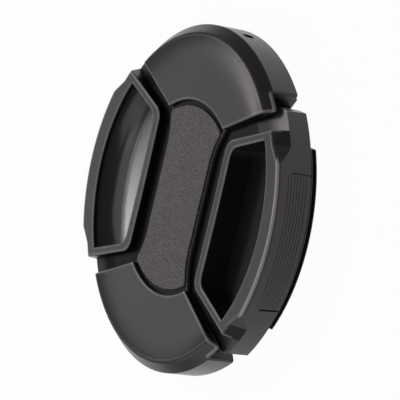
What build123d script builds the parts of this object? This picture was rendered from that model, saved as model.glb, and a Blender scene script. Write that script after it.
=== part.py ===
from build123d import *
import os
from math import asin, cos, degrees, hypot, radians, sin, sqrt, tan

# A camera lens cap with two sprung pinch levers. It lies on its back with the face up:
# Z is the cap's axis, the levers slide along X, and the centre bar runs along Y.
# The origin is the centre of the back. All sizes are in millimetres.

# Outer shell
flange_radius = 27.5
flange_depth = 4.5
flange_wall = 1.3
flange_floor = 1.0
flange_end_angle = 49.5
flange_end_rounding = 0.45
band_width = 1.65
band_rise = 1.7
rim_rounding = 0.9
dish_depth = 0.5
face_thickness = 1.6
edge_rounding = 0.25
face_tolerance = 0.001

# Ring that reaches into the filter thread
shoulder_width = 2.9
spigot_depth = 2.3
spigot_wall = 1.8
spigot_end_angle = 54.0

# Centre bar, slots and badge
bar_half_width = 6.75
bar_straight_half = 7.0
bar_thickness = 0.6
slot_corner_x = 8.5
slot_slant = 25.2
badge_groove = 0.9
badge_radius = 14.5
badge_thickness = 0.45
badge_side_step = 0.1
badge_corner = 0.8
badge_rounding = 0.12

# Levers at rest
lever_clearance = 0.1
lever_plate = 0.9
lever_end_gap = 1.0
lever_inner_x = 4.0
lever_reach = 0.8
lever_flare = 0.4
lever_flange_wall = 1.6
lever_flange_corner = 1.5
lever_band_drop = 0.75
lever_band_width = 1.4
lever_slope_width = 6.5
frame_inner_x = 10.6
frame_corner_gap = 1.3
frame_corner_radius = 2.4
frame_slant = 20.2
frame_inner_width = 1.8
frame_end_width = 1.4
cup_outer_width = 3.05
cup_corner_radius = 2.0
cup_floor = 1.6
cup_floor_rise = 0.7
cup_sweep = 3.75
cup_wall = 0.35
lug_width = 3.5
lug_reach = 1.0
lug_clearance = 0.1
lever_travel = 2.2

# Side grips of the levers
grip_half_length = 11.45
grip_band_height = 0.55
grip_band_inset = 0.25
grip_edge_rounding = 0.4
grip_end_direction = 48.0
grip_end_tilt = 24.5
rib_count = 7
rib_pitch = 0.55
rib_depth = 0.05
rib_first_height = 0.9
panel_half_angle = 21.0
slit_width = 0.3
slit_depth = 0.25
slit_height = 3.6

# Thread arms of the levers
arm_clearance = 0.3
arm_wall = 1.4
arm_half_length = 14.0
arm_ground_gap = 0.1
ridge_count = 2
ridge_pitch = 0.75
ridge_height = 0.7
ridge_crest = 0.15

# Springs and their seats
spring_y = 7.5
spring_outer_radius = 1.1
spring_wire = 0.35
spring_turns = 7
spring_plate_gap = 0.1
spring_end_gap = 0.03
peg_radius = 0.6
peg_length = 1.0
rib_half_width = 1.5
rib_half_length = 11.5

# Guides, stakes and back plate
guide_clearance = 0.3
guide_width = 1.0
back_plate_thickness = 1.2
back_plate_gap = 0.1
back_plate_travel_gap = 0.4
stake_y = 16.0
stake_radius = 1.3
stake_clearance = 0.1
runner_y = 6.0
runner_width = 2.0
runner_start = 12.0
runner_end_gap = 2.3

# Leash hole
leash_radius = 0.9
leash_angle = 81.3
leash_drop = 2.1
leash_window = 2.6

# Heights and radii worked out from the sizes above
flange_back = spigot_depth
flange_front = flange_back + flange_depth
rim_height = flange_front + band_rise
rim_radius = flange_radius - band_width
underside = rim_height - face_thickness
bar_top = underside + bar_thickness
dish_radius = (rim_radius**2 + dish_depth**2) / (2 * dish_depth)
above_face = rim_height + band_rise
beyond = 2 * flange_radius
wall_inner = flange_radius - flange_wall
spigot_radius = flange_radius - shoulder_width
spigot_inner = spigot_radius - spigot_wall
lever_radius = flange_radius + lever_reach
lever_half_length = wall_inner * sin(radians(flange_end_angle)) - lever_end_gap
lever_floor = underside - lever_clearance
lever_bottom = flange_back
band_foot = flange_front - lever_band_drop
cup_radius = lever_radius - cup_outer_width
arm_inner_radius = spigot_radius + arm_clearance
arm_shift = lever_travel + back_plate_travel_gap
plate_bottom = lever_floor - lever_plate
runner_top = lever_bottom - lever_clearance
spring_z = plate_bottom - spring_plate_gap - spring_outer_radius
groove_radius = badge_radius + badge_groove
slot_corner_y = sqrt(groove_radius**2 - slot_corner_x**2)
frame_corner_y = slot_corner_y - frame_corner_gap
frame_rise = tan(radians(frame_slant))
cup_inner_x = frame_inner_x + frame_inner_width
cup_corner_y = frame_corner_y + frame_inner_width * frame_rise - frame_end_width / cos(radians(frame_slant))


def dish_height(radius):
    """Height of the dished face at a distance from the axis."""
    return rim_height - dish_depth + dish_radius - sqrt(dish_radius**2 - radius**2)


def lever_side_radius(height):
    """Radius of the levers' outer side, which leans out towards the face."""
    lean = lever_flare / (dish_height(lever_radius) - lever_bottom)
    return lever_radius + lean * (height - lever_bottom)


def turned(points):
    """Solid of revolution about the axis, from a closed outline of (radius, height) points."""
    return revolve(make_face(Plane.XZ * Polyline(*points, close=True)), Axis.Z)


def prism(outline, low, high):
    """Upright solid over a closed outline, between two heights."""
    return extrude(Plane.XY.offset(low) * outline, amount=high - low)


def block(low_corner, high_corner):
    """Box between two opposite corners."""
    size = [high - low for low, high in zip(low_corner, high_corner)]
    return Pos(*low_corner) * Box(*size, align=(Align.MIN, Align.MIN, Align.MIN))


def both_sides(solid):
    """A solid and its mirror image on the other side of the centre bar."""
    return solid + mirror(solid, about=Plane.YZ)


def dish():
    """Ball whose lower side is the shallow dish of the face."""
    return Pos(0, 0, rim_height - dish_depth + dish_radius) * Sphere(dish_radius)


def slot_outline():
    """Opening for the right lever: the flared side of the bar and two slanted ends."""
    far_y = slot_corner_y + (beyond - slot_corner_x) * tan(radians(slot_slant))
    upper_flare = TangentArc(
        (bar_half_width, bar_straight_half), (slot_corner_x, slot_corner_y), tangent=(0, 1)
    )
    lower_flare = TangentArc(
        (bar_half_width, -bar_straight_half), (slot_corner_x, -slot_corner_y), tangent=(0, -1)
    )
    return make_face(
        [
            Line((bar_half_width, -bar_straight_half), (bar_half_width, bar_straight_half)),
            upper_flare,
            Polyline(
                (slot_corner_x, slot_corner_y),
                (beyond, far_y),
                (beyond, -far_y),
                (slot_corner_x, -slot_corner_y),
            ),
            lower_flare,
        ]
    )


def slanted_outline(inner_x, corner_y, corner_radius):
    """Outline with a straight side next to the bar, rounded corners, and slanted ends."""
    far_y = corner_y + (beyond - inner_x) * frame_rise
    outline = make_face(
        Polyline((inner_x, -corner_y), (inner_x, corner_y), (beyond, far_y), (beyond, -far_y), close=True)
    )
    return fillet(outline.vertices().sort_by(Axis.X)[:2], corner_radius)


def wedge(half_angle):
    """Sector on the right, where the flange gives way to the lever."""
    across = beyond * tan(radians(half_angle))
    return make_face(Polyline((0, 0), (beyond, across), (beyond, -across), close=True))


def rounded_on_face(solid, radius_under):
    """A solid with its edges on the dished face rounded, inside a distance from the axis."""
    chosen = []
    for edge in solid.edges():
        points = (edge @ 0, edge @ 0.5, edge @ 1)
        radii = [hypot(point.X, point.Y) for point in points]
        on_face = all(
            abs(point.Z - dish_height(radius)) < face_tolerance for point, radius in zip(points, radii)
        )
        if on_face and radii[1] < radius_under:
            chosen.append(edge)
    return fillet(chosen, edge_rounding)


def face_moulding():
    """Dished face with its sloping side band, open for the levers, with a seat for the badge."""
    face = turned(
        [
            (0, underside),
            (flange_radius - band_width * (underside - flange_front) / band_rise, underside),
            (rim_radius - band_width, above_face),
            (0, above_face),
        ]
    )
    face -= dish()
    rim = face.edges().filter_by(GeomType.CIRCLE).sort_by(Axis.Z)[-1]
    face = fillet(rim, rim_rounding)
    face -= both_sides(prism(slot_outline(), 0, above_face))
    face -= Pos(0, 0, bar_top) * Cylinder(
        groove_radius, above_face, align=(Align.CENTER, Align.CENTER, Align.MIN)
    )
    return rounded_on_face(face, rim_radius - rim_rounding)


def flange_ring():
    """Flange wall, the step behind it and the ring that reaches into the filter thread."""
    wall = turned(
        [
            (wall_inner, flange_back),
            (flange_radius, flange_back),
            (flange_radius, flange_front),
            (flange_radius - band_width * (underside - flange_front) / band_rise, underside),
            (wall_inner, underside),
        ]
    )
    outline = Circle(flange_radius) - Circle(spigot_inner)
    outline -= wedge(flange_end_angle)
    outline -= mirror(wedge(flange_end_angle), about=Plane.YZ)
    outer_corners = outline.vertices().group_by(lambda vertex: hypot(vertex.X, vertex.Y))[-1]
    wall &= prism(fillet(outer_corners, flange_end_rounding), 0, above_face)
    step = turned(
        [
            (spigot_inner, 0),
            (spigot_radius, 0),
            (spigot_radius, flange_back),
            (flange_radius, flange_back),
            (flange_radius, flange_back + flange_floor),
            (spigot_inner, flange_back + flange_floor),
        ]
    )
    step -= both_sides(prism(wedge(spigot_end_angle), 0, above_face))
    return wall + step


def lever_guides():
    """Four ribs under the face that the ends of the levers' plates run along."""
    start_x = lever_inner_x + lug_width + lug_clearance
    end_x = wall_inner * cos(radians(flange_end_angle))
    inner_y = lever_half_length + guide_clearance
    guide = block((start_x, inner_y, plate_bottom), (end_x, inner_y + guide_width, underside))
    upper = both_sides(guide)
    return upper + mirror(upper, about=Plane.XZ)


def peg(x, y, outward):
    """Short round peg that holds one end of a spring."""
    return Pos(x, y, spring_z) * Rot(0, 90 * outward, 0) * Cylinder(
        peg_radius, peg_length, align=(Align.CENTER, Align.CENTER, Align.MIN)
    )


def centre_rib():
    """Rib under the bar that the springs push against, with its pegs."""
    rib = block(
        (-rib_half_width, -rib_half_length, back_plate_thickness),
        (rib_half_width, rib_half_length, underside),
    )
    for y in (-spring_y, spring_y):
        rib += peg(rib_half_width, y, 1)
        rib += peg(-rib_half_width, y, -1)
    return rib


def stakes():
    """Two posts that pass through the back plate and hold it."""
    post = Cylinder(stake_radius, underside, align=(Align.CENTER, Align.CENTER, Align.MIN))
    return Pos(0, stake_y, 0) * post + Pos(0, -stake_y, 0) * post


def leash_way():
    """Hole through the flange's wall for a leash, and the window behind it that lets the leash out."""
    hole = Rot(0, 90, 0) * Cylinder(leash_radius, 4 * flange_wall)
    hole = Pos(wall_inner, 0, flange_front - leash_drop) * hole
    window = block(
        (spigot_radius, -leash_window / 2, 0),
        (wall_inner, leash_window / 2, flange_back + 2 * flange_floor),
    )
    return Rot(0, 0, leash_angle) * (hole + window)


def cap_body():
    body = face_moulding() + flange_ring()
    body += lever_guides()
    body += centre_rib()
    body += stakes()
    return body - leash_way()


def badge_plate():
    """Plate on the bar that follows the bar's flared sides and has round ends."""
    blank = prism(Circle(badge_radius), bar_top, bar_top + badge_thickness)
    side_gap = prism(slot_outline(), 0, above_face)
    plate = blank - both_sides(Pos(-badge_side_step, 0, 0) * side_gap)
    corners = plate.edges().filter_by(Axis.Z).group_by(lambda edge: abs(edge.center().Y))[-1]
    plate = fillet(corners, badge_corner)
    return fillet(plate.faces().sort_by(Axis.Z)[-1].edges(), badge_rounding)


def lever_blank():
    """The right lever's outer shape: its sloping side band and the taller side grip, dished on top."""
    foot_radius = lever_side_radius(band_foot)
    band_slope = lever_band_width / (dish_height(lever_radius) - band_foot)
    ends = turned(
        [
            (0, lever_bottom),
            (lever_radius, lever_bottom),
            (foot_radius, band_foot),
            (foot_radius - band_slope * (above_face - band_foot), above_face),
            (0, above_face),
        ]
    )
    grip_top = dish_height(lever_radius) - grip_band_height
    grip_radius = lever_side_radius(grip_top)
    grip_slope = grip_band_inset / grip_band_height
    grip = turned(
        [
            (0, lever_bottom),
            (lever_radius, lever_bottom),
            (grip_radius, grip_top),
            (grip_radius - grip_slope * (above_face - grip_top), above_face),
            (0, above_face),
        ]
    )
    widest = grip.edges().filter_by(GeomType.CIRCLE).sort_by(lambda edge: edge.radius)[-1]
    grip = fillet(widest, grip_edge_rounding)
    apex_radius = grip_radius - grip_band_inset
    apex_x = sqrt(apex_radius**2 - grip_half_length**2)
    level = cos(radians(grip_end_tilt))
    for side in (1, -1):
        facing = (
            level * cos(radians(grip_end_direction)),
            side * level * sin(radians(grip_end_direction)),
            sin(radians(grip_end_tilt)),
        )
        apex = (apex_x, side * grip_half_length, dish_height(apex_radius))
        grip = split(grip, bisect_by=Plane(apex, z_dir=facing), keep=Keep.BOTTOM)
    return ends + grip - dish()


def cup_pocket():
    """Hollow of the finger cup: its floor rises gently from the bar, then sweeps up to the outer edge."""
    outline = slanted_outline(cup_inner_x, cup_corner_y, cup_corner_radius)
    floor = lever_bottom + cup_floor
    foot = (cup_inner_x, floor)
    turn = (cup_radius - cup_sweep, floor + cup_floor_rise)
    edge = (cup_radius, dish_height(cup_radius) - cup_wall)
    rising = TangentArc(foot, turn, tangent=(1, 0))
    profile = [
        Line((0, floor), foot),
        rising,
        TangentArc(turn, edge, tangent=rising % 1),
        Polyline(edge, (cup_radius, above_face), (0, above_face), (0, floor)),
    ]
    scoop = revolve(make_face([Plane.XZ * curve for curve in profile]), Axis.Z)
    return prism(outline, lever_bottom, above_face) & scoop


def lever_plate_and_flange():
    """Sliding plate under the face with its stop lugs, sloping down to the flange along its outer edge."""
    foot_radius = lever_side_radius(band_foot)
    sloping = turned(
        [
            (0, lever_bottom),
            (lever_radius, lever_bottom),
            (foot_radius, band_foot),
            (foot_radius - lever_slope_width, lever_floor),
            (0, lever_floor),
        ]
    )
    outline = Pos(lever_inner_x, 0) * Rectangle(beyond, 2 * lever_half_length, align=(Align.MIN, Align.CENTER))
    outline &= Circle(lever_radius + lever_flare)
    outline = fillet(outline.vertices().sort_by(Axis.X)[-2:], lever_flange_corner)
    plate = prism(outline, plate_bottom, lever_floor)
    flange = prism(outline - Circle(lever_radius - lever_flange_wall), lever_bottom, lever_floor)
    slider = (plate + flange) & sloping
    lug = block(
        (lever_inner_x, lever_half_length, plate_bottom),
        (lever_inner_x + lug_width, lever_half_length + lug_reach, lever_floor),
    )
    return slider + lug + mirror(lug, about=Plane.XZ)


def thread_arm():
    """Arm behind the flange with ridges that catch the filter thread."""
    outer = arm_inner_radius + arm_wall
    outline = [(arm_inner_radius, lever_bottom + cup_floor / 2), (arm_inner_radius, arm_ground_gap)]
    ramp = (ridge_pitch - ridge_crest) / 2
    for index in range(ridge_count):
        foot = arm_ground_gap + index * ridge_pitch
        outline += [
            (outer, foot),
            (outer + ridge_height, foot + ramp),
            (outer + ridge_height, foot + ramp + ridge_crest),
        ]
    outline += [
        (outer, arm_ground_gap + ridge_count * ridge_pitch),
        (outer, lever_bottom + cup_floor / 2),
    ]
    span = block((0, -arm_half_length, 0), (beyond, arm_half_length, above_face))
    return turned(outline) & span


def grip_ribs():
    """Fine grooves round the side grip, and the short slit at each end of the ribbed panel."""
    cuts = []
    for index in range(rib_count):
        height = lever_bottom + rib_first_height + index * rib_pitch
        side = lever_side_radius(height)
        groove = Polyline(
            (side - rib_depth, height),
            (side + rib_depth, height - rib_depth * 2),
            (side + rib_depth, height + rib_depth * 2),
            close=True,
        )
        start = Rot(0, 0, -panel_half_angle) * make_face(Plane.XZ * groove)
        cuts.append(revolve(start, Axis.Z, revolution_arc=2 * panel_half_angle))
    slit = block(
        (lever_side_radius(lever_bottom) - slit_depth, -slit_width / 2, 0),
        (beyond, slit_width / 2, lever_bottom + slit_height),
    )
    slit_angle = panel_half_angle + degrees(asin(slit_width / lever_radius))
    cuts += [Rot(0, 0, slit_angle) * slit, Rot(0, 0, -slit_angle) * slit]
    return cuts


def right_lever():
    frame = slanted_outline(frame_inner_x, frame_corner_y, frame_corner_radius)
    tray = lever_blank() & prism(frame, 0, above_face)
    pocket = cup_pocket()
    tray = rounded_on_face(tray - pocket, beyond)
    lever = tray + (lever_plate_and_flange() - pocket) + thread_arm()
    for cut in grip_ribs():
        lever -= cut
    for y in (-spring_y, spring_y):
        lever += peg(frame_inner_x, y, -1)
    return lever


def right_spring():
    """Coil between the centre rib and the right lever's cup."""
    seat = rib_half_width + spring_end_gap + spring_wire / 2
    length = frame_inner_x - spring_end_gap - spring_wire / 2 - seat
    coil_radius = spring_outer_radius - spring_wire / 2
    coil = Helix(pitch=length / spring_turns, height=length, radius=coil_radius, direction=(1, 0, 0))
    wire = sweep(Plane(coil @ 0, z_dir=coil % 0) * Circle(spring_wire / 2), path=coil, is_frenet=True)
    return Pos(seat, 0, spring_z) * wire


def back_plate():
    """Disc that closes the back, cut away beside the thread arms, with runners under the levers."""
    outline = Circle(spigot_inner - back_plate_gap)
    runner_end = arm_inner_radius - arm_shift - runner_end_gap
    for side in (1, -1):
        outline &= Pos(-side * arm_shift, 0) * Circle(arm_inner_radius)
        outline -= Pos(0, side * stake_y) * Circle(stake_radius + stake_clearance)
    plate = prism(outline, 0, back_plate_thickness)
    for y in (-runner_y, runner_y):
        runner = block(
            (runner_start, y - runner_width / 2, back_plate_thickness),
            (runner_end, y + runner_width / 2, runner_top),
        )
        plate += both_sides(runner)
    return plate


def main():
    lever = right_lever()
    spring = right_spring()
    pieces = {
        "cap_body": cap_body(),
        "badge_plate": badge_plate(),
        "back_plate": back_plate(),
        "right_lever": lever,
        "left_lever": mirror(lever, about=Plane.YZ),
    }
    for name, y in (("upper", spring_y), ("lower", -spring_y)):
        pieces[f"right_spring_{name}"] = Pos(0, y, 0) * spring
        pieces[f"left_spring_{name}"] = mirror(Pos(0, y, 0) * spring, about=Plane.YZ)
    os.makedirs("parts", exist_ok=True)
    for name, piece in pieces.items():
        export_step(piece, f"parts/{name}.step")


main()
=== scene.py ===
import bpy
import math
from mathutils import Matrix, Vector


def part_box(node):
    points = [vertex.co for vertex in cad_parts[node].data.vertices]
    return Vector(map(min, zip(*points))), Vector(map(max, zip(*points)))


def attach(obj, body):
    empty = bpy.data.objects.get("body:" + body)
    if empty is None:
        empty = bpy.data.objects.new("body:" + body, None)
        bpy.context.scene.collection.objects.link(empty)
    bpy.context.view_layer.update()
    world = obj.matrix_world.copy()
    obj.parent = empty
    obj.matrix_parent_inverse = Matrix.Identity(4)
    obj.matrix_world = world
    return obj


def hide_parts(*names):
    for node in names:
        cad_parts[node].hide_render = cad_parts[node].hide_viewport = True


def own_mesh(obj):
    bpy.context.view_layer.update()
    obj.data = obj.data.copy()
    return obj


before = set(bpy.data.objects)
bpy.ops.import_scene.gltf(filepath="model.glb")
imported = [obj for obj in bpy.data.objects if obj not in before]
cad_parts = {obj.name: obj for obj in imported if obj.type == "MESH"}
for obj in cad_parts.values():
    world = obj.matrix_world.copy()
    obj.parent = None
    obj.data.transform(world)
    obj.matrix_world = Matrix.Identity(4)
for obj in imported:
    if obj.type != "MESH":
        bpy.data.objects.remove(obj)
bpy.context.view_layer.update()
MM = 0.001

# Places on the cap that the finishes follow, in millimetres
CUP_INNER_X = 12.4
CUP_CORNER_Y = 10.7
CUP_END_RISE = 0.368  # Y per X along the slanted ends of a cup
CUP_OUTER_RADIUS = 25.3
CUP_TOP = 8.0
CUP_BOTTOM = 3.6
PLATE_TOP = 6.85
SLOT_FLOOR = 6.0
BAR_TOP = 7.5
GROOVE_INNER = 14.5
GROOVE_OUTER = 15.4
LIP_RADIUS = 28.41
LIP_HEIGHT = 8.55
CROWN_START = 17.0
CROWN_END = 25.4
CROWN_FALL = 0.000013  # at 1 mm past the start, growing with the fifth power

# Radii between which the painted shade in the slots fades out towards the rim, in millimetres
BODY_SLOT_SHADE_FADE = (23.5, 25.0)
LEVER_WALL_SHADE_FADE = (25.0, 26.5)
LEVER_PLATE_SHADE_FADE = (24.0, 27.5)

# Share of painted shade, mixed to flat black, in each of the slots and the channel round the badge
BODY_SLOT_SHADE = 0.65
GROOVE_SHADE = 0.7
LEVER_SLOT_SHADE = 0.72

# Upward part of the normal, between a wall and a level face
LEVEL = (0.3, 0.6)

PLASTIC_SHEEN = (1.0, 0.925, 0.95, 1.0)
# Flat black mixed into slots, lever plates and the channel round the badge as painted shade
PAINTED_SHADE_BLACK = (0.004, 0.0035, 0.0037, 1.0)
CHARCOAL_DARK = (0.0245, 0.0208, 0.0220, 1.0)
CHARCOAL_PALE = (0.0315, 0.0272, 0.0285, 1.0)
# Pale edge colours: partly worn plastic, partly painted highlight
EDGE_WEAR_AND_HIGHLIGHT = (0.55, 0.52, 0.53, 1.0)
LIP_WEAR_AND_HIGHLIGHT = (0.60, 0.57, 0.58, 1.0)
CUP_BLACK = (0.016, 0.0145, 0.018, 1.0)
PEBBLE_DARK = (0.054, 0.048, 0.052, 1.0)
PEBBLE_PALE = (0.188, 0.171, 0.183, 1.0)
BACK_DARK = (0.020, 0.020, 0.021, 1.0)
BACK_PALE = (0.028, 0.028, 0.029, 1.0)
WIRE_DARK = (0.46, 0.46, 0.47, 1.0)
WIRE_PALE = (0.60, 0.60, 0.61, 1.0)
FLOOR_GREY = (0.86, 0.86, 0.86, 1.0)
ROOM_GREY = (0.8, 0.8, 0.8, 1.0)
WHITE = (1.0, 1.0, 1.0, 1.0)

PLASTIC_GRAIN_MM = 0.006
PLASTIC_ROUGHNESS = 0.265
CUP_SMOOTHING = 0.10
CUP_COAT_ROUGHNESS = 0.22


class Value:
    """A socket that can stand in a sum: each operator adds the Math node that does it."""

    def __init__(self, finish, socket):
        self.finish = finish
        self.socket = socket

    def maths(self, operation, first, second=0.0):
        return self.finish.add("ShaderNodeMath", {"operation": operation}, {0: first, 1: second})

    def __add__(self, other):
        return self.maths("ADD", self, other)

    def __radd__(self, other):
        return self.maths("ADD", other, self)

    def __sub__(self, other):
        return self.maths("SUBTRACT", self, other)

    def __rsub__(self, other):
        return self.maths("SUBTRACT", other, self)

    def __mul__(self, other):
        return self.maths("MULTIPLY", self, other)

    def __rmul__(self, other):
        return self.maths("MULTIPLY", other, self)

    def __pow__(self, other):
        return self.maths("POWER", self, other)

    def __abs__(self):
        return self.maths("ABSOLUTE", self)

    def within(self, low, high):
        """The value, held between low and high."""
        return self.finish.add("ShaderNodeClamp", None, {"Value": self, "Min": low, "Max": high})

    def over(self, low, high):
        """0 below low, 1 above high, with a smooth ramp between."""
        ends = {"From Min": low, "From Max": high, "To Min": 0.0, "To Max": 1.0}
        settings = {"interpolation_type": "SMOOTHSTEP"}
        return self.finish.add("ShaderNodeMapRange", settings, {"Value": self, **ends})

    def under(self, low, high):
        """1 below low, 0 above high, with a smooth ramp between."""
        return 1 - self.over(low, high)


class Finish:
    """Nodes of a material or of the world: add() makes any node, show() joins one to the output."""

    def __init__(self, owner, output="ShaderNodeOutputMaterial"):
        owner.use_nodes = True
        self.owner = owner
        self.tree = owner.node_tree
        self.tree.nodes.clear()
        self.output = self.tree.nodes.new(output)

    def add(self, kind, settings=None, sockets=None, output=0):
        node = self.tree.nodes.new(kind)
        for name, setting in (settings or {}).items():
            setattr(node, name, setting)
        for name, value in (sockets or {}).items():
            if isinstance(value, Value):
                self.tree.links.new(value.socket, node.inputs[name])
            else:
                node.inputs[name].default_value = value
        return Value(self, node.outputs[output])

    def show(self, surface):
        self.tree.links.new(surface.socket, self.output.inputs["Surface"])
        return self.owner

    def place(self):
        """The point on the cap, in millimetres."""
        at = self.add("ShaderNodeTexCoord", output="Object")
        return self.add("ShaderNodeVectorMath", {"operation": "SCALE"}, {0: at, "Scale": 1 / MM})

    def parts(self, at):
        """X, Y and Z of a point, and its distance from the cap's axis."""
        x, y, z = [self.add("ShaderNodeSeparateXYZ", None, {0: at}, axis) for axis in "XYZ"]
        return x, y, z, (x * x + y * y) ** 0.5

    def noise(self, at, per_mm, detail=3.0, roughness=0.5):
        sockets = {"Vector": at, "Scale": per_mm, "Detail": detail, "Roughness": roughness}
        return self.add("ShaderNodeTexNoise", None, sockets, "Fac")

    def mix(self, share, first, second):
        """Colour between two colours."""
        sockets = {"Factor": share, 6: first, 7: second}
        return self.add("ShaderNodeMix", {"data_type": "RGBA"}, sockets, 2)

    def bump(self, height, depth_mm, normal=None):
        sockets = {"Height": height, "Strength": 1.0, "Distance": depth_mm * MM}
        if normal is not None:
            sockets["Normal"] = normal
        return self.add("ShaderNodeBump", None, sockets)

    def edge_wear_and_highlight(self, reach_mm):
        """1 on outer edges and 0 on flat faces, for pale edges that are partly worn and partly
        painted highlight.
        """
        settings = {"samples": 8, "inside": True, "only_local": True}
        sockets = {"Distance": reach_mm * MM}
        depth = self.add("ShaderNodeAmbientOcclusion", settings, sockets, "AO")
        return (1 - depth).over(0.04, 0.30)

    def upright(self):
        """1 on walls and 0 on level faces, and the upward part of the normal."""
        normal = self.add("ShaderNodeNewGeometry", output="Normal")
        up = self.add("ShaderNodeSeparateXYZ", None, {0: normal}, "Z")
        return abs(up).under(0.2, 0.6), up

    def shade(self, painted_shade=None, **sockets):
        """The finished surface, mixed towards flat black as painted shade by the share given."""
        named = {name.replace("_", " "): value for name, value in sockets.items()}
        surface = self.add("ShaderNodeBsdfPrincipled", None, named)
        if painted_shade is not None:
            shade_black = self.add("ShaderNodeBsdfDiffuse", None, {"Color": PAINTED_SHADE_BLACK})
            surface = self.add("ShaderNodeMixShader", None, {0: painted_shade, 1: surface, 2: shade_black})
        return self.show(surface)


def either(first, second):
    """1 where either of two masks is 1."""
    return 1 - (1 - first) * (1 - second)


def moulded(finish, at, wear_highlight_area):
    """Colour, roughness and grain of the moulded plastic, paler on outer edges, partly worn and
    partly painted highlight.
    """
    cloud = finish.noise(at, per_mm=0.12)
    grain = finish.noise(at, per_mm=9.0, roughness=0.6)
    colour = finish.mix(cloud, CHARCOAL_DARK, CHARCOAL_PALE)
    # Paler outer edges: partly worn plastic, partly painted highlight
    wear_and_highlight = finish.edge_wear_and_highlight(reach_mm=0.5) * wear_highlight_area * (0.4 + 0.6 * grain)
    colour = finish.mix(wear_and_highlight, colour, EDGE_WEAR_AND_HIGHLIGHT)
    return colour, PLASTIC_ROUGHNESS + 0.05 * cloud + 0.05 * grain, grain


def charcoal_plastic():
    """Moulded charcoal plastic with a fine grain, a soft crown towards the rim of the face, and
    painted shade in the slots and the channel round the badge.
    """
    finish = Finish(bpy.data.materials.new("charcoal_plastic"))
    at = finish.place()
    *_, z, radius = finish.parts(at)
    wall, up = finish.upright()
    colour, roughness, grain = moulded(finish, at, z.over(PLATE_TOP, PLATE_TOP + 0.5))
    out = radius.within(CROWN_START, CROWN_END) - CROWN_START
    crown = finish.bump(out**5 * -CROWN_FALL * up.over(*LEVEL), 1.0)
    # Painted shade: slot walls and the channel round the badge are mixed towards flat black
    slot_shade = wall * radius.under(*BODY_SLOT_SHADE_FADE) * z.over(SLOT_FLOOR - 1.0, SLOT_FLOOR)
    groove_shade = radius.over(GROOVE_INNER - 0.2, GROOVE_INNER)
    groove_shade = groove_shade * radius.under(GROOVE_OUTER - 0.1, GROOVE_OUTER + 0.1)
    groove_shade = groove_shade * z.over(BAR_TOP - 0.3, BAR_TOP - 0.1) * z.under(BAR_TOP + 0.1, BAR_TOP + 0.3)
    return finish.shade(
        painted_shade=either(BODY_SLOT_SHADE * slot_shade, GROOVE_SHADE * groove_shade),
        Base_Color=colour,
        Roughness=roughness,
        Specular_Tint=PLASTIC_SHEEN,
        Normal=finish.bump(grain, PLASTIC_GRAIN_MM, crown),
    )


def lever_plastic():
    """The same plastic on the levers, polished inside the finger cups, with painted shade in the
    slots and on the plates and a painted highlight along the outer rim edge.
    """
    finish = Finish(bpy.data.materials.new("lever_plastic"))
    at = finish.place()
    x, y, z, radius = finish.parts(at)
    side = abs(x)
    wall, up = finish.upright()
    end = CUP_CORNER_Y + CUP_END_RISE * (side - CUP_INNER_X)
    in_cup = side.over(CUP_INNER_X - 0.2, CUP_INNER_X)
    in_cup = in_cup * radius.under(CUP_OUTER_RADIUS, CUP_OUTER_RADIUS + 0.2)
    in_cup = in_cup * (abs(y) - end).under(0.1, 0.4)
    in_cup = in_cup * z.over(CUP_BOTTOM - 0.2, CUP_BOTTOM) * z.under(CUP_TOP - 0.3, CUP_TOP)
    polish = in_cup * up.over(0.1, 0.5)
    # Painted shade: the plates and slot walls are mixed towards flat black, fading out towards the
    # rim
    plate = up.over(*LEVEL) * z.under(PLATE_TOP, PLATE_TOP + 0.1) * radius.under(*LEVER_PLATE_SHADE_FADE)
    walls = wall * radius.under(*LEVER_WALL_SHADE_FADE) * z.over(SLOT_FLOOR - 1.0, SLOT_FLOOR)
    slot_shade = either(plate, walls)
    # Painted highlight along the levers' outer rim edge, drawn as a pale worn line
    lip_highlight = radius.over(LIP_RADIUS - 0.4, LIP_RADIUS - 0.15)
    lip_highlight = lip_highlight * z.over(LIP_HEIGHT - 0.4, LIP_HEIGHT - 0.2)
    wear_highlight_area = z.over(PLATE_TOP, PLATE_TOP + 0.5) * (wall - lip_highlight).under(0.0, 1.0)
    colour, roughness, grain = moulded(finish, at, wear_highlight_area)
    colour = finish.mix(lip_highlight * (0.5 + 0.5 * grain), colour, LIP_WEAR_AND_HIGHLIGHT)
    return finish.shade(
        painted_shade=LEVER_SLOT_SHADE * slot_shade * (1 - in_cup),
        Base_Color=finish.mix(in_cup, colour, CUP_BLACK),
        Roughness=roughness - CUP_SMOOTHING * polish,
        Specular_Tint=PLASTIC_SHEEN,
        Coat_Weight=polish,
        Coat_Roughness=CUP_COAT_ROUGHNESS,
        Normal=finish.bump(grain * (1 - 0.8 * in_cup), PLASTIC_GRAIN_MM),
    )


def badge_pebble():
    """Fine pebbled plastic of the badge plate."""
    finish = Finish(bpy.data.materials.new("badge_pebble"))
    at = finish.place()
    cells = {"Vector": at, "Scale": 2.6, "Smoothness": 0.3}
    pebble = finish.add("ShaderNodeTexVoronoi", {"feature": "SMOOTH_F1"}, cells, "Distance")
    speck = finish.noise(at, per_mm=4.5, detail=2.0)
    return finish.shade(
        Base_Color=finish.mix(speck.over(0.35, 0.65), PEBBLE_DARK, PEBBLE_PALE),
        Roughness=0.56 + 0.08 * speck,
        Specular_Tint=PLASTIC_SHEEN,
        Normal=finish.bump(1 - pebble, 0.09),
    )


def back_matte():
    """Plain matte moulding of the back plate."""
    finish = Finish(bpy.data.materials.new("back_matte"))
    at = finish.place()
    cloud = finish.noise(at, per_mm=0.2)
    grain = finish.noise(at, per_mm=6.0, roughness=0.6)
    return finish.shade(
        Base_Color=finish.mix(cloud, BACK_DARK, BACK_PALE),
        Roughness=0.55 + 0.08 * grain,
        Normal=finish.bump(grain, 0.01),
    )


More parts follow.
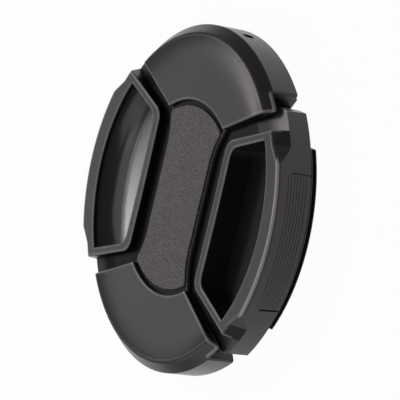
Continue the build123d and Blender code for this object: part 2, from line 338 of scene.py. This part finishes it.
def spring_wire():
    """Bright drawn steel wire."""
    finish = Finish(bpy.data.materials.new("spring_wire"))
    drawn = finish.noise(finish.place(), per_mm=14.0)
    return finish.shade(
        Base_Color=finish.mix(drawn, WIRE_DARK, WIRE_PALE),
        Metallic=1.0,
        Roughness=0.22 + 0.14 * drawn,
    )


def dress(node, material):
    """Give a moulded piece its finish."""
    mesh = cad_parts[node].data
    mesh.materials.clear()
    mesh.materials.append(material)


dress("cap_body", charcoal_plastic())
levers = lever_plastic()
dress("right_lever", levers)
dress("left_lever", levers)
dress("badge_plate", badge_pebble())
dress("back_plate", back_matte())

# Coil springs in the boxes of the spring nodes, standing in for them
SPRING_TURNS = 7
WIRE_RADIUS = 0.175 * MM
ROUND_STEPS = 24
WIRE_STEPS = 10


def coil_mesh(name, low, high):
    """Round wire wound along X, filling the box of the node that it stands for."""
    along = Vector((1, 0, 0))
    middle_y, middle_z = (low.y + high.y) / 2, (low.z + high.z) / 2
    winding = (high.z - low.z) / 2 - WIRE_RADIUS
    start, end = low.x + WIRE_RADIUS, high.x - WIRE_RADIUS
    steps = SPRING_TURNS * ROUND_STEPS
    points, faces = [], []
    for step in range(steps + 1):
        turn = 2 * math.pi * step / ROUND_STEPS
        across = Vector((0, math.cos(turn), math.sin(turn)))
        centre = Vector((start + (end - start) * step / steps, middle_y, middle_z))
        centre = centre + winding * across
        for side in range(WIRE_STEPS):
            lean = 2 * math.pi * side / WIRE_STEPS
            outward = math.cos(lean) * across + math.sin(lean) * along
            points.append(centre + WIRE_RADIUS * outward)
    for step in range(steps):
        for side in range(WIRE_STEPS):
            here = step * WIRE_STEPS + side
            beside = step * WIRE_STEPS + (side + 1) % WIRE_STEPS
            faces.append((here, beside, beside + WIRE_STEPS, here + WIRE_STEPS))
    faces.append(tuple(reversed(range(WIRE_STEPS))))
    faces.append(tuple(range(steps * WIRE_STEPS, (steps + 1) * WIRE_STEPS)))
    mesh = bpy.data.meshes.new(name)
    mesh.from_pydata(points, [], faces)
    mesh.shade_smooth()
    return mesh


wire = spring_wire()
for side, sign in (("right", 1), ("left", -1)):
    for row in ("upper", "lower"):
        node = f"{side}_spring_{row}"
        low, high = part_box(node)
        spring = bpy.data.objects.new(f"{node}_coil", coil_mesh(f"{node}_coil", low, high))
        bpy.context.scene.collection.objects.link(spring)
        spring.data.materials.append(wire)
        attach(spring, "cap")
        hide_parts(node)
        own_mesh(spring)

# Floor and background
FLOOR_DROP = 0.05 * MM
FLOOR_REACH = 3.0
FLOOR_WHITENESS = 0.97
ROOM_LIGHT = 0.15


def pale_floor():
    """Floor that is white in view and in reflections, and keeps part of the cap's shadow."""
    finish = Finish(bpy.data.materials.new("pale_floor"))
    seen = finish.add("ShaderNodeLightPath", output="Is Camera Ray")
    mirrored = finish.add("ShaderNodeLightPath", output="Is Glossy Ray")
    through = finish.add("ShaderNodeLightPath", output="Is Transmission Ray")
    direct = (seen + mirrored + through).over(0.0, 1.0)
    matte = finish.add("ShaderNodeBsdfDiffuse", None, {"Color": FLOOR_GREY})
    glow = finish.add("ShaderNodeEmission", None, {"Color": WHITE, "Strength": 1.0})
    share = direct * FLOOR_WHITENESS
    return finish.show(finish.add("ShaderNodeMixShader", None, {0: share, 1: matte, 2: glow}))


def studio_room():
    """Dim room around the cap, white where the camera sees it."""
    room = Finish(bpy.data.worlds.new("studio"), "ShaderNodeOutputWorld")
    seen = room.add("ShaderNodeLightPath", output="Is Camera Ray")
    dim = room.add("ShaderNodeBackground", None, {"Color": ROOM_GREY, "Strength": ROOM_LIGHT})
    white = room.add("ShaderNodeBackground", None, {"Color": WHITE, "Strength": 1.0})
    return room.show(room.add("ShaderNodeMixShader", None, {0: seen, 1: dim, 2: white}))


floor_mesh = bpy.data.meshes.new("floor")
corners = ((-1, -1), (1, -1), (1, 1), (-1, 1))
floor_points = [(FLOOR_REACH * x, FLOOR_REACH * y, -FLOOR_DROP) for x, y in corners]
floor_mesh.from_pydata(floor_points, [], [(0, 1, 2, 3)])
floor = bpy.data.objects.new("floor", floor_mesh)
bpy.context.scene.collection.objects.link(floor)
floor.data.materials.append(pale_floor())
bpy.context.scene.world = studio_room()


def soft_box(name, place, size, glow):
    """Rectangular lamp that faces the cap; glow is how bright its face looks."""
    lamp = bpy.data.lights.new(name, "AREA")
    lamp.shape = "RECTANGLE"
    lamp.size, lamp.size_y = size
    lamp.energy = glow * math.pi * size[0] * size[1]
    holder = bpy.data.objects.new(name, lamp)
    bpy.context.scene.collection.objects.link(holder)
    holder.location = place
    holder.rotation_mode = "QUATERNION"
    holder.rotation_quaternion = (-Vector(place)).to_track_quat("-Z", "Y")


soft_box("key", (-0.680, 0.185, 0.713), (0.42, 0.17), 6.8)
soft_box("glint", (-0.698, -0.060, 0.713), (0.15, 0.15), 6.4)
soft_box("slope", (-0.500, 0.04, 0.866), (0.60, 0.24), 1.6)
soft_box("side_fill", (-0.766, -0.341, 0.545), (0.42, 0.22), 1.3)
soft_box("overhead", (0.0, 0.0, 1.0), (0.70, 0.70), 0.6)
soft_box("high_fill", (0.05, -0.44, 0.90), (0.50, 0.42), 0.5)
soft_box("front_fill", (0.46, -0.64, 0.62), (0.60, 0.60), 0.5)
soft_box("low_fill", (-0.10, -0.50, 0.26), (0.40, 0.16), 1.2)

# Camera at the photograph's viewing angle, in metres
CAMERA_PLACE = Vector((0.31738, 0.05490, 0.20293))
CAMERA_RIGHT = Vector((0.48886, 0.22849, -0.84191))
CAMERA_UP = Vector((-0.24211, 0.96271, 0.12069))
SENSOR_WIDTH_MM = 36.0
LENS_MM = 216.8

camera = bpy.data.objects.new("camera", bpy.data.cameras.new("camera"))
bpy.context.scene.collection.objects.link(camera)
camera_back = CAMERA_RIGHT.cross(CAMERA_UP)
pose = Matrix((CAMERA_RIGHT, CAMERA_UP, camera_back)).transposed().to_4x4()
pose.translation = CAMERA_PLACE
camera.matrix_world = pose
camera.data.sensor_width = SENSOR_WIDTH_MM
camera.data.lens = LENS_MM
camera.data.clip_start = 0.01
camera.data.clip_end = 20.0
bpy.context.scene.camera = camera
bpy.context.scene.view_settings.view_transform = "Standard"
